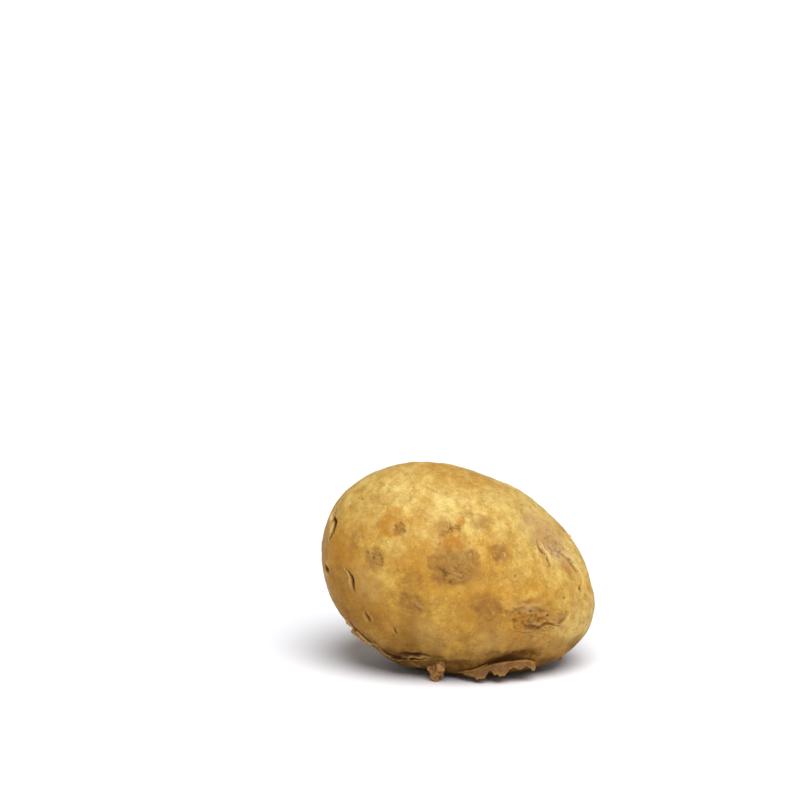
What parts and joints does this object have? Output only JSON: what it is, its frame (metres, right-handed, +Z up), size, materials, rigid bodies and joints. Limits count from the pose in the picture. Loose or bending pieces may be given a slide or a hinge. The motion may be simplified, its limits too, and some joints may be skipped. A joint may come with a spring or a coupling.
{
  "type": "potato",
  "caption": "Whole raw potato, a blunt egg shape with thin yellow-brown skin and shallow eyes, lying on a small flat spot of its underside.",
  "frame": {"origin": "on the surface the potato lies on, under the middle of its outline seen from above", "axes": "+X toward the slimmer bud end, +Y toward the side away from the large eye, +Z up"},
  "size_m": [0.0832, 0.059, 0.0638],
  "materials": {
    "potato_skin": "dull, dry, thin yellow-brown skin, finely netted, with small brown scurf patches"
  },
  "bodies": {
    "root": {"potato": "potato_skin"}
  },
  "joints": []
}
